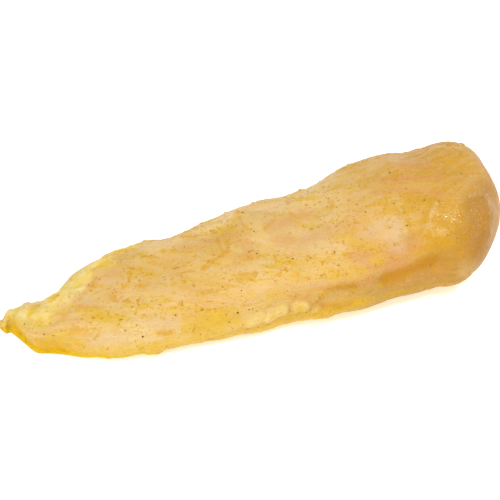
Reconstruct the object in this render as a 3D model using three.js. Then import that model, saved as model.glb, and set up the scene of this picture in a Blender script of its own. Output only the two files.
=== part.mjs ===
// A raw chicken breast fillet, boneless and skinless, in a yellow spice marinade.
// It lies on its flat underside with the smooth outer face up, all one piece of meat with
// pads of fat grown on to its edge. X runs from the thin tip to the thick shoulder end,
// Y from the front side to the back side, and Z up from the table. The origin is on the
// table, under the middle of the fillet. Lengths are in millimetres, angles in degrees.
import * as THREE from "three";

// The three driving dimensions.
const LENGTH = 200; // from the tip to the shoulder end
const WIDTH = 74; // across the shoulder
const THICKNESS = 35; // from the table to the shoulder's crown

// Cross-sections along the fillet. at is the share of the length from the tip. front and
// back are how far each side reaches from the sections' axis, as shares of the width, and
// crown is the top's height, as a share of the thickness. lean is where the crown lies,
// from 0 at the front side to 1 at the back. belly is the height of the widest point, as a
// share of the crown's height. square is how boxy the top is, where 2 is a plain ellipse.
const SECTIONS = [
  { at: 0.0, front: 0.088, back: -0.043, crown: 0.15, lean: 0.5, belly: 0.5, square: 2.2 },
  { at: 0.009, front: 0.054, back: -0.008, crown: 0.12, lean: 0.5, belly: 0.5, square: 2.3 },
  { at: 0.016, front: 0.061, back: -0.024, crown: 0.16, lean: 0.5, belly: 0.47, square: 2.4 },
  { at: 0.025, front: 0.057, back: -0.012, crown: 0.27, lean: 0.5, belly: 0.45, square: 2.4 },
  { at: 0.04, front: 0.164, back: 0.015, crown: 0.287, lean: 0.5, belly: 0.41, square: 2.5 },
  { at: 0.055, front: 0.269, back: 0.003, crown: 0.37, lean: 0.49, belly: 0.37, square: 2.7 },
  { at: 0.075, front: 0.295, back: 0.018, crown: 0.345, lean: 0.48, belly: 0.34, square: 2.8 },
  { at: 0.1, front: 0.33, back: 0.005, crown: 0.395, lean: 0.47, belly: 0.32, square: 2.8 },
  { at: 0.135, front: 0.4, back: 0.095, crown: 0.45, lean: 0.47, belly: 0.32, square: 2.8 },
  { at: 0.17, front: 0.43, back: 0.165, crown: 0.48, lean: 0.46, belly: 0.32, square: 2.8 },
  { at: 0.25, front: 0.48, back: 0.26, crown: 0.53, lean: 0.45, belly: 0.32, square: 2.7 },
  { at: 0.35, front: 0.48, back: 0.26, crown: 0.59, lean: 0.45, belly: 0.31, square: 2.5 },
  { at: 0.4, front: 0.49, back: 0.295, crown: 0.63, lean: 0.45, belly: 0.31, square: 2.45 },
  { at: 0.45, front: 0.495, back: 0.32, crown: 0.655, lean: 0.45, belly: 0.31, square: 2.45 },
  { at: 0.5, front: 0.47, back: 0.375, crown: 0.7, lean: 0.45, belly: 0.31, square: 2.4 },
  { at: 0.55, front: 0.495, back: 0.375, crown: 0.735, lean: 0.45, belly: 0.31, square: 2.4 },
  { at: 0.6, front: 0.495, back: 0.385, crown: 0.8, lean: 0.45, belly: 0.3, square: 2.35 },
  { at: 0.7, front: 0.472, back: 0.42, crown: 0.945, lean: 0.45, belly: 0.3, square: 2.2 },
  { at: 0.75, front: 0.463, back: 0.45, crown: 0.99, lean: 0.455, belly: 0.305, square: 2.1 },
  { at: 0.8, front: 0.452, back: 0.49, crown: 1.01, lean: 0.47, belly: 0.315, square: 2.1 },
  { at: 0.85, front: 0.49, back: 0.465, crown: 1.0, lean: 0.495, belly: 0.33, square: 2.1 },
  { at: 0.9, front: 0.463, back: 0.468, crown: 1.005, lean: 0.525, belly: 0.355, square: 2.1 },
  { at: 0.95, front: 0.4, back: 0.49, crown: 1.02, lean: 0.55, belly: 0.37, square: 2.1 },
  { at: 1.0, front: 0.425, back: 0.525, crown: 1.03, lean: 0.57, belly: 0.38, square: 2.1 },
];
const UNDERSIDE_SQUARE = 2.6; // how boxy the lower half of a section is
const SAG = 1.5; // how far the meat would hang below the table, which presses it flat
const ASIDE = 0.9; // how far the axis of the sections lies behind the origin

// The rounded ends, each drawn in to a pole at y and z. reach is how far from the end the
// drawing in starts, on the front side and on the back side, and power is how blunt it is.
const TIP = { reachFront: 6, reachBack: 6, power: 1.9, y: -2.4, z: 7.2 };
const END = { reachFront: 45, reachBack: 20, power: 2.85, y: 15, z: 15.5 };

// Soft folds, creases and swells of the muscle. A path runs through points given as share
// of the length and angle round the section: 0 is the front side, 90 the crown and 180 the
// back. reach is how far the form spreads each side of its path, and height how far it
// stands up, or sinks where it is negative.
const FOLDS = {
  sideCrease: {
    path: [[0.69, 12], [0.72, 11.5], [0.76, 12], [0.796, 13], [0.82, 14.5]],
    reach: 4,
    height: -1.0,
  },
  flankCrease: { path: [[0.565, 0], [0.59, 9], [0.61, 13], [0.64, 12]], reach: 3, height: -0.8 },
  endHollow: { path: [[0.86, 22], [0.895, 38], [0.91, 56]], reach: 8, height: -1.3 },
  shoulderSwell: {
    path: [[0.63, 31], [0.68, 27], [0.73, 25], [0.78, 28], [0.82, 36]],
    reach: 8,
    height: 1.5,
  },
  lowerSwell: { path: [[0.63, 0], [0.7, 0], [0.78, 0], [0.86, 2]], reach: 8, height: 1.5 },
  endSwell: { path: [[0.88, 6], [0.92, 16], [0.94, 34]], reach: 9, height: 1.2 },
  neckHollow: { path: [[0.63, 150], [0.62, 115], [0.6, 85]], reach: 15, height: -1.5 },
  backRoll: { path: [[0.37, 128], [0.455, 124], [0.54, 128], [0.62, 130]], reach: 5, height: 0.9 },
  flankHollow: { path: [[0.42, 28], [0.5, 26], [0.57, 22]], reach: 9, height: -1.0 },
  membraneFold: { path: [[0.831, 63], [0.815, 54], [0.794, 40]], reach: 2.6, height: 0.7 },
  sheetEdge: { path: [[0.763, 64], [0.762, 48], [0.745, 33]], reach: 3.2, height: -0.6 },
  tendon: { path: [[0.02, 70], [0.03, 32], [0.05, 36], [0.1, 50]], reach: 3, height: 0.8 },
  tipFold: { path: [[0.03, 48], [0.055, 60], [0.09, 73], [0.13, 85], [0.17, 99]], reach: 3.5, height: -1.0 },
  tipEdge: { path: [[0.045, 18], [0.075, 23], [0.1, 24], [0.13, 16], [0.16, 9]], reach: 3, height: 0.6 },
};

// Pads of fat grown on to the edge: share of the length, angle round the section, reach
// across, height, and how many times longer than wide the pad is.
const FAT_PADS = [
  { at: 0.04, angle: 78, reach: 3.6, height: 0.9, stretch: 1.2 },
  { at: 0.056, angle: 98, reach: 3.4, height: 0.6, stretch: 1.3 },
  { at: 0.078, angle: 87, reach: 4.2, height: 1.0, stretch: 1.3 },
  { at: 0.112, angle: 112, reach: 5.0, height: 1.4, stretch: 1.6 },
  { at: 0.13, angle: 94, reach: 4.0, height: 1.0, stretch: 1.4 },
  { at: 0.16, angle: 97, reach: 3.2, height: 1.2, stretch: 1.0 },
  { at: 0.178, angle: 110, reach: 4.6, height: 1.4, stretch: 1.8 },
  { at: 0.212, angle: 121, reach: 4.2, height: 1.6, stretch: 1.8 },
  { at: 0.25, angle: 135, reach: 3.6, height: 1.3, stretch: 2.2 },
  { at: 0.3, angle: 138, reach: 3.2, height: 1.0, stretch: 2.4 },
  { at: 0.258, angle: -14, reach: 3.4, height: 1.3, stretch: 1.5 },
  { at: 0.315, angle: 0, reach: 3.4, height: 1.0, stretch: 2.2 },
  { at: 0.585, angle: -8, reach: 4.2, height: 1.5, stretch: 1.8 },
];

// Lobes of fat that lie along the front edge, one after another. Each follows a path, as a
// fold does, and is round all the way to its rim.
const FAT_LOBES = [
  { path: [[0.35, 2], [0.375, 4], [0.4, 6], [0.421, 7]], reach: 2.2, height: 1.0 },
  { path: [[0.435, 6], [0.448, 9], [0.458, 11]], reach: 2.5, height: 1.6 },
  { path: [[0.468, 6], [0.482, 9], [0.502, 9]], reach: 2.5, height: 1.9 },
  { path: [[0.526, 9], [0.533, 12], [0.541, 9]], reach: 2.7, height: 2.1 },
  { path: [[0.561, 1.5], [0.569, 2.5]], reach: 2.0, height: 1.3 },
];

// The uneven swell of soft meat: waves along and across, with their heights.
const WAVES = [
  { along: 31, across: 40, height: 0.35, shift: 0.4 },
  { along: -53, across: 27, height: 0.3, shift: 1.9 },
  { along: 19, across: -33, height: 0.18, shift: 3.1 },
];

// The mesh: rings along the length and points round each of a section's four quarters.
const TIP_RINGS = 6;
const MIDDLE_RINGS = 74;
const END_RINGS = 11;
const QUARTER_POINTS = [16, 14, 7, 9]; // front to crown, crown to back, back to base, base to front
const PATH_STEP = 1.5; // spacing of the points that a path is followed by
const PAD_ROUNDNESS = 0.9; // the lower, the rounder a pad's edge
const LOBE_ROUNDNESS = 0.7;
const LIFT = 2.5; // the relief fades out over this height above the table
const PROBE = 0.05; // step for measuring a slope

const radians = THREE.MathUtils.degToRad;
const clamp = THREE.MathUtils.clamp;

// A smooth curve through one column of the sections.
function sectionValue(column, at) {
  const last = SECTIONS.length - 1;
  let i = 0;
  while (i < last - 1 && at >= SECTIONS[i + 1].at) i++;
  const slope = (k) => {
    const before = SECTIONS[Math.max(k - 1, 0)];
    const after = SECTIONS[Math.min(k + 1, last)];
    return (after[column] - before[column]) / (after.at - before.at);
  };
  const here = SECTIONS[i];
  const next = SECTIONS[i + 1];
  const span = next.at - here.at;
  const t = (at - here.at) / span;
  const t2 = t * t;
  const t3 = t2 * t;
  return (
    (2 * t3 - 3 * t2 + 1) * here[column] +
    (t3 - 2 * t2 + t) * span * slope(i) +
    (3 * t2 - 2 * t3) * next[column] +
    (t3 - t2) * span * slope(i + 1)
  );
}

// How much of a section's size is left where an end draws in: 1 clear of it, 0 at the pole.
function drawIn(end, fromEnd, cosine) {
  const reach = THREE.MathUtils.lerp(end.reachBack, end.reachFront, 0.5 + 0.5 * cosine);
  const depth = clamp(1 - fromEnd / reach, 0, 1);
  return Math.pow(1 - Math.pow(depth, end.power), 1 / end.power);
}

// A point of the plain form, before folds and fat, for a share of the length and an angle.
function formPoint(at, angle) {
  const share = clamp(at, 0, 1);
  const cosine = Math.cos(radians(angle));
  const sine = Math.sin(radians(angle));
  const front = -WIDTH * sectionValue("front", share);
  const back = WIDTH * sectionValue("back", share);
  const crown = THICKNESS * sectionValue("crown", share);
  const belly = crown * sectionValue("belly", share);
  const middle = THREE.MathUtils.lerp(front, back, sectionValue("lean", share));
  const square = sine >= 0 ? sectionValue("square", share) : UNDERSIDE_SQUARE;
  const outward = Math.pow(Math.abs(cosine), 2 / square);
  const upward = Math.pow(Math.abs(sine), 2 / square);
  const side = cosine >= 0 ? front : back;
  let y = middle + (side - middle) * outward;
  let z = belly + ((sine >= 0 ? crown : -SAG) - belly) * upward;
  for (const [end, fromEnd] of [[TIP, share * LENGTH], [END, (1 - share) * LENGTH]]) {
    const left = drawIn(end, fromEnd, cosine);
    y = end.y + (y - end.y) * left;
    z = end.z + (z - end.z) * left;
  }
  return new THREE.Vector3((share - 0.5) * LENGTH, y + ASIDE, z);
}

// The direction that faces out of the plain form at a point.
function formNormal(at, angle) {
  const step = PROBE / LENGTH;
  const along = formPoint(at + step, angle).sub(formPoint(at - step, angle));
  const round = formPoint(at, angle + PROBE).sub(formPoint(at, angle - PROBE));
  return along.cross(round).normalize();
}

// The points in space that a path runs through, close together.
function pathPoints(path) {
  const corners = path.map(([at, angle]) => new THREE.Vector3(at, angle, 0));
  const line = new THREE.CatmullRomCurve3(corners, false, "centripetal");
  const rough = (path[path.length - 1][0] - path[0][0]) * LENGTH;
  const count = Math.max(8, Math.ceil(Math.abs(rough) / PATH_STEP));
  return line.getPoints(count).map((p) => formPoint(p.x, p.y));
}

const folds = Object.values(FOLDS).map((fold) => ({ ...fold, points: pathPoints(fold.path) }));
const pads = FAT_PADS.map((pad) => ({ ...pad, centre: formPoint(pad.at, pad.angle) }));
const lobes = FAT_LOBES.map((lobe) => ({ ...lobe, points: pathPoints(lobe.path) }));

// How far inside a fold or a lobe a point is: 1 on its path, and 0 past its reach.
function insidePath(form, point) {
  let nearest = Infinity;
  for (const p of form.points) nearest = Math.min(nearest, p.distanceToSquared(point));
  return Math.max(0, 1 - nearest / form.reach ** 2);
}

function foldLift(fold, point) {
  return fold.height * insidePath(fold, point) ** 2;
}

function lobeLift(lobe, point) {
  return lobe.height * Math.pow(insidePath(lobe, point), LOBE_ROUNDNESS);
}

// How far a pad of fat lifts a point, with a rounder edge than a fold.
function padLift(pad, point) {
  const along = (point.x - pad.centre.x) / (pad.reach * pad.stretch);
  const across = (point.y - pad.centre.y) / pad.reach;
  const up = (point.z - pad.centre.z) / pad.reach;
  const inside = Math.max(0, 1 - along ** 2 - across ** 2 - up ** 2);
  return pad.height * Math.pow(inside, PAD_ROUNDNESS);
}

function waveLift(point) {
  const phase = (w) => (point.x / w.along + point.y / w.across) * 2 * Math.PI + w.shift;
  return WAVES.reduce((sum, w) => sum + w.height * Math.sin(phase(w)), 0);
}

// A point of the finished surface: the plain form with its folds, fat and waves, pressed
// flat where it meets the table.
function meatPoint(at, angle) {
  const point = formPoint(at, angle);
  let lift = waveLift(point);
  for (const fold of folds) lift += foldLift(fold, point);
  const padded = pads.map((pad) => padLift(pad, point));
  lift += Math.max(...padded, ...lobes.map((lobe) => lobeLift(lobe, point)));
  lift *= THREE.MathUtils.smoothstep(point.z, 0, LIFT);
  point.addScaledVector(formNormal(at, angle), lift);
  point.z = Math.max(point.z, 0);
  return point;
}

// Where the rings lie along the length, closer together where the ends round over.
function ringPlaces() {
  const places = [];
  for (let i = 1; i <= TIP_RINGS; i++) {
    places.push((TIP.reachFront / LENGTH) * (1 - Math.cos((i / TIP_RINGS) * (Math.PI / 2))));
  }
  const start = TIP.reachFront / LENGTH;
  const stop = 1 - END.reachFront / LENGTH;
  for (let i = 1; i < MIDDLE_RINGS; i++) {
    places.push(THREE.MathUtils.lerp(start, stop, i / MIDDLE_RINGS));
  }
  for (let i = END_RINGS; i >= 1; i--) {
    places.push(1 - (END.reachFront / LENGTH) * (1 - Math.cos((i / END_RINGS) * (Math.PI / 2))));
  }
  return places;
}

function ringAngles() {
  const angles = [];
  QUARTER_POINTS.forEach((count, quarter) => {
    for (let i = 0; i < count; i++) angles.push(90 * (quarter + i / count));
  });
  return angles;
}

// The closed skin: rings of points joined by triangles, with a fan at each pole.
function meatGeometry() {
  const places = ringPlaces();
  const angles = ringAngles();
  const points = places.flatMap((at) => angles.map((angle) => meatPoint(at, angle)));
  const tip = points.push(new THREE.Vector3(-LENGTH / 2, TIP.y + ASIDE, TIP.z)) - 1;
  const end = points.push(new THREE.Vector3(LENGTH / 2, END.y + ASIDE, END.z)) - 1;
  const around = angles.length;
  const faces = [];
  for (let j = 0; j < around; j++) {
    const k = (j + 1) % around;
    const last = (places.length - 1) * around;
    faces.push(tip, j, k);
    faces.push(end, last + k, last + j);
    for (let ring = 0; ring < places.length - 1; ring++) {
      const a = ring * around + j;
      const b = ring * around + k;
      faces.push(a, b + around, b);
      faces.push(a, a + around, b + around);
    }
  }
  const geometry = new THREE.BufferGeometry().setFromPoints(points);
  geometry.setIndex(faces);
  geometry.computeVertexNormals();
  return geometry;
}

const rawMeat = new THREE.MeshStandardMaterial({ color: 0xe6bb6a, roughness: 0.3, metalness: 0 });

const breast = new THREE.Mesh(meatGeometry(), rawMeat);
breast.name = "breast";

const fillet = new THREE.Group();
fillet.add(breast);

export default fillet;
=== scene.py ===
# The looks of a raw chicken breast fillet in a yellow spice marinade, on a pale studio floor.
import math

import bpy
import numpy as np
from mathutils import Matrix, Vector


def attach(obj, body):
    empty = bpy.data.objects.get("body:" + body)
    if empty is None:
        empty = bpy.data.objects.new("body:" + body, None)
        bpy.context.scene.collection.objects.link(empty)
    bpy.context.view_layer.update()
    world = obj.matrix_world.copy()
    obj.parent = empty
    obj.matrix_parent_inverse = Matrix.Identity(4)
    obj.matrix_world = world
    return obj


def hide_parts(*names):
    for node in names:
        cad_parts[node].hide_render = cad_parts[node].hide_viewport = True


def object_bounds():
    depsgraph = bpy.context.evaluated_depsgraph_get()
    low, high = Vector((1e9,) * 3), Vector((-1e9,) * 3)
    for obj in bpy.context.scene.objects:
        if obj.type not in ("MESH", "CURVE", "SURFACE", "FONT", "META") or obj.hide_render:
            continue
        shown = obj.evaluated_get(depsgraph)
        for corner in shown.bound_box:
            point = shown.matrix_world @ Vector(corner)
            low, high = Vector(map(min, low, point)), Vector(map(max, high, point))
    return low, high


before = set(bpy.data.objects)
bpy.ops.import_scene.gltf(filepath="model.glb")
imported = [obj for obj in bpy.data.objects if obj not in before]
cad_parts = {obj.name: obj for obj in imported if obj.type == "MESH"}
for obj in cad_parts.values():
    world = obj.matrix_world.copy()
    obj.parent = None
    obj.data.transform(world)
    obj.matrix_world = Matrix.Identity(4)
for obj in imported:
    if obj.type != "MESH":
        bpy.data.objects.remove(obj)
cad_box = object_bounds()

# Sizes of the fillet in millimetres: the length from the frame, the width and thickness given, and the
# metre that Blender works in.
MM = 0.001
LENGTH = (cad_box[1].x - cad_box[0].x) / MM
WIDTH = 74
THICKNESS = 35

# The camera stands in front of the fillet, to its left and above it.
CAMERA_AZIMUTH = -18
CAMERA_ELEVATION = 36
CAMERA_DISTANCE = 0.8
CAMERA_LENS = 152.5
CAMERA_SENSOR = 36
CAMERA_NEAR = 0.01
CAMERA_TARGET = Vector((-0.001, 0.0011, 0.014))

# Cross-sections along the fillet: share of the length from the tip, how far the front and
# the back reach as shares of the width, the crown's height as a share of the thickness,
# where the crown leans, the height of the widest point, and how boxy the top is.
SECTION_COLUMNS = ("at", "front", "back", "crown", "lean", "belly", "square")
SECTIONS = np.array([
    (0.0, 0.088, -0.043, 0.15, 0.5, 0.5, 2.2),
    (0.009, 0.058, -0.01, 0.13, 0.5, 0.5, 2.3),
    (0.016, 0.062, -0.02, 0.185, 0.5, 0.47, 2.4),
    (0.025, 0.057, -0.012, 0.27, 0.5, 0.45, 2.4),
    (0.04, 0.164, 0.015, 0.287, 0.5, 0.41, 2.5),
    (0.055, 0.269, 0.003, 0.37, 0.49, 0.37, 2.7),
    (0.075, 0.295, 0.018, 0.345, 0.48, 0.34, 2.8),
    (0.1, 0.33, 0.005, 0.395, 0.47, 0.32, 2.8),
    (0.135, 0.4, 0.095, 0.45, 0.47, 0.32, 2.8),
    (0.17, 0.43, 0.165, 0.48, 0.46, 0.32, 2.8),
    (0.25, 0.48, 0.26, 0.53, 0.45, 0.32, 2.7),
    (0.35, 0.48, 0.26, 0.59, 0.45, 0.31, 2.5),
    (0.4, 0.49, 0.295, 0.63, 0.45, 0.31, 2.45),
    (0.45, 0.495, 0.32, 0.655, 0.45, 0.31, 2.45),
    (0.5, 0.47, 0.375, 0.7, 0.45, 0.31, 2.4),
    (0.55, 0.495, 0.375, 0.735, 0.45, 0.31, 2.4),
    (0.6, 0.495, 0.385, 0.8, 0.45, 0.3, 2.35),
    (0.7, 0.472, 0.42, 0.945, 0.45, 0.3, 2.2),
    (0.75, 0.463, 0.45, 0.99, 0.455, 0.305, 2.1),
    (0.8, 0.452, 0.49, 1.01, 0.47, 0.315, 2.1),
    (0.85, 0.49, 0.465, 1.0, 0.495, 0.33, 2.1),
    (0.9, 0.463, 0.468, 1.005, 0.525, 0.355, 2.1),
    (0.95, 0.4, 0.49, 1.02, 0.55, 0.37, 2.1),
    (1.0, 0.425, 0.525, 1.03, 0.57, 0.38, 2.1),
])

# How boxy the underside is, how far it would sag under the table, how far all is moved aside,
# and how the ends round over: their reach at the front and back, their power and their pole.
UNDERSIDE_SQUARE = 2.6
SAG = 1.5
ASIDE = 0.9
TIP = {"front": 6, "back": 6, "power": 1.9, "y": -2.4, "z": 7.2}
END = {"front": 45, "back": 20, "power": 2.85, "y": 15, "z": 15.5}

# Soft folds of the muscle: a path of (share of the length, angle round the section), how
# far the fold spreads and how high it stands.
FOLDS = {
    "side crease": (((0.69, 12), (0.72, 11.5), (0.76, 12), (0.796, 13), (0.82, 14.5)), 4, -0.6),
    "flank crease": (((0.565, 0), (0.59, 9), (0.61, 13), (0.64, 12)), 3, -0.8),
    "end hollow": (((0.86, 22), (0.895, 38), (0.91, 56)), 8, -1.3),
    "shoulder swell": (((0.63, 31), (0.68, 27), (0.73, 25), (0.78, 28), (0.82, 36)), 8, 1.5),
    "lower swell": (((0.63, 0), (0.7, 0), (0.78, 0), (0.86, 2)), 8, 1.5),
    "end swell": (((0.88, 6), (0.92, 16), (0.94, 34)), 9, 1.2),
    "neck hollow": (((0.63, 150), (0.62, 115), (0.6, 85)), 15, -1.5),
    "back roll": (((0.37, 128), (0.455, 124), (0.54, 128), (0.62, 130)), 5, 0.9),
    "flank hollow": (((0.42, 28), (0.5, 26), (0.57, 22)), 9, -1.0),
    "membrane fold": (((0.831, 63), (0.815, 54), (0.794, 40)), 2.6, 0.7),
    "sheet edge": (((0.763, 64), (0.762, 48), (0.745, 33)), 3.2, -0.6),
    "tendon": (((0.02, 70), (0.03, 32), (0.05, 36), (0.1, 50)), 3, 0.8),
    "tip fold": (((0.045, 56), (0.065, 64), (0.09, 73), (0.13, 85), (0.17, 99)), 3.5, -0.4),
    "tip edge": (((0.045, 18), (0.075, 23), (0.1, 24), (0.13, 16), (0.16, 9)), 3, 0.6),
    "tip pleat": (((0.034, 40), (0.04, 26), (0.065, 32)), 1.1, 0.3),
}

# Pads of fat that swell under the skin of the edge: share, angle, reach, height and stretch
# along the length.
FAT_PADS = (
    (0.04, 78, 3.6, 0.8, 1.2),
    (0.056, 98, 3.4, 0.6, 1.3),
    (0.078, 87, 4.2, 0.8, 1.3),
    (0.112, 112, 5.0, 1.2, 1.6),
    (0.13, 94, 4.0, 0.8, 1.4),
    (0.16, 97, 3.4, 0.7, 1.2),
    (0.178, 110, 4.6, 1.4, 1.8),
    (0.212, 121, 4.2, 1.6, 1.8),
    (0.25, 135, 3.6, 1.3, 2.2),
    (0.3, 138, 3.2, 1.0, 2.4),
    (0.258, -14, 3.4, 1.3, 1.5),
    (0.315, 0, 3.4, 1.0, 2.2),
    (0.585, -8, 4.2, 1.5, 1.8),
)

# Lobes of fat along the front edge: a path, how far the lobe reaches and how high it stands.
FAT_LOBES = (
    (((0.35, 2), (0.375, 4), (0.4, 6), (0.421, 7)), 2.2, 1.0),
    (((0.435, 6), (0.448, 9), (0.458, 11)), 2.5, 1.6),
    (((0.468, 6), (0.482, 9), (0.502, 9)), 2.5, 1.9),
    (((0.526, 9), (0.533, 12), (0.541, 9)), 2.7, 2.1),
    (((0.561, 1.5), (0.569, 2.5)), 2.0, 1.3),
)
PAD_ROUNDNESS = 1.2
LOBE_ROUNDNESS = 0.7

# The uneven swell of soft meat: wave along, wave across, height, shift.
WAVES = ((31, 40, 0.35, 0.4), (-53, 27, 0.3, 1.9), (19, -33, 0.18, 3.1))

# Layers of relief and of ragged edges that noise makes: the height, size and seed of each. The
# noise repeats after so many bumps.
SOFT_LUMPS = ((0.2, 9, 1), (0.1, 4.5, 2))
FIBRE_LINES = ((0.1, (26, 3.4, 1), 3), (0.07, (13, 1.6, 1), 4))
BACK_LUMPS = ((0.45, (30, 8, 7), 15), (0.2, (12, 4, 3), 16))
FAT_LUMPS = ((0.16, 3.0, 5), (0.08, 1.5, 6))
FOOT_LUMPS = ((0.22, 3.2, 9), (0.1, 1.5, 10))
RAGGED_EDGE = ((0.3, 5, 11), (0.3, 2.2, 12))
SPICE_DRIFTS = ((0.85, (18, 6, 1), 21), (0.6, (7, 2.4, 1), 22))
NOISE_SIDE = 64

# Soft oval patches of the surface: centre and reach, each as a share and an angle.
PATCHES = {
    "wet end": ((0.855, 41), (0.11, 29)),
    "wet strip": ((0.73, 29), (0.17, 17)),
    "combed middle": ((0.53, 40), (0.2, 34)),
    "combed tip": ((0.12, 45), (0.14, 34)),
    "spiced back": ((0.9, 94), (0.1, 34)),
    "spiced middle": ((0.43, 60), (0.11, 28)),
    "clean neck": ((0.62, 100), (0.11, 44)),
    # The tip wall and the strip under the crease take painted shade.
    "tip wall": ((0.065, 0), (0.055, 28)),
    "under the crease": ((0.73, 31), (0.11, 16)),
    "front gold": ((0.48, 18), (0.2, 38)),
    "back gold": ((0.42, 94), (0.13, 50)),
}

# How far the sections have drawn in where the shoulder's end starts and where it is full.
CAP_EDGE = (0.85, 0.6)

# The fibres cross the top towards the front: by how many degrees in all, and where. They sway
# by some degrees on the way. One turn round the meat counts as so many widths.
FIBRE_TURN = 120
FIBRE_SPAN = (0.1, 0.72)
FIBRE_SWAY = 4
FIBRE_BENDS = 9
FIBRE_STRETCH = 2.6

# Relief is full from this height over the table, in millimetres. Normals are measured over a
# probe's step in millimetres or degrees, and paths at stops this far apart.
LIFT = 2.5
PROBE = 0.05
TINY = 1e-12
PATH_STEP = 1.5
FEWEST_STOPS = 8

# The fine mesh: rings at the tip, along the middle and at the shoulder end, and points round
# each quarter of a section, from the middle of the underside to the front, crown and back.
TIP_RINGS = 22
MIDDLE_RINGS = 322
END_RINGS = 66
QUARTER_POINTS = (44, 84, 74, 34)
FIRST_ANGLE = -90
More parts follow.
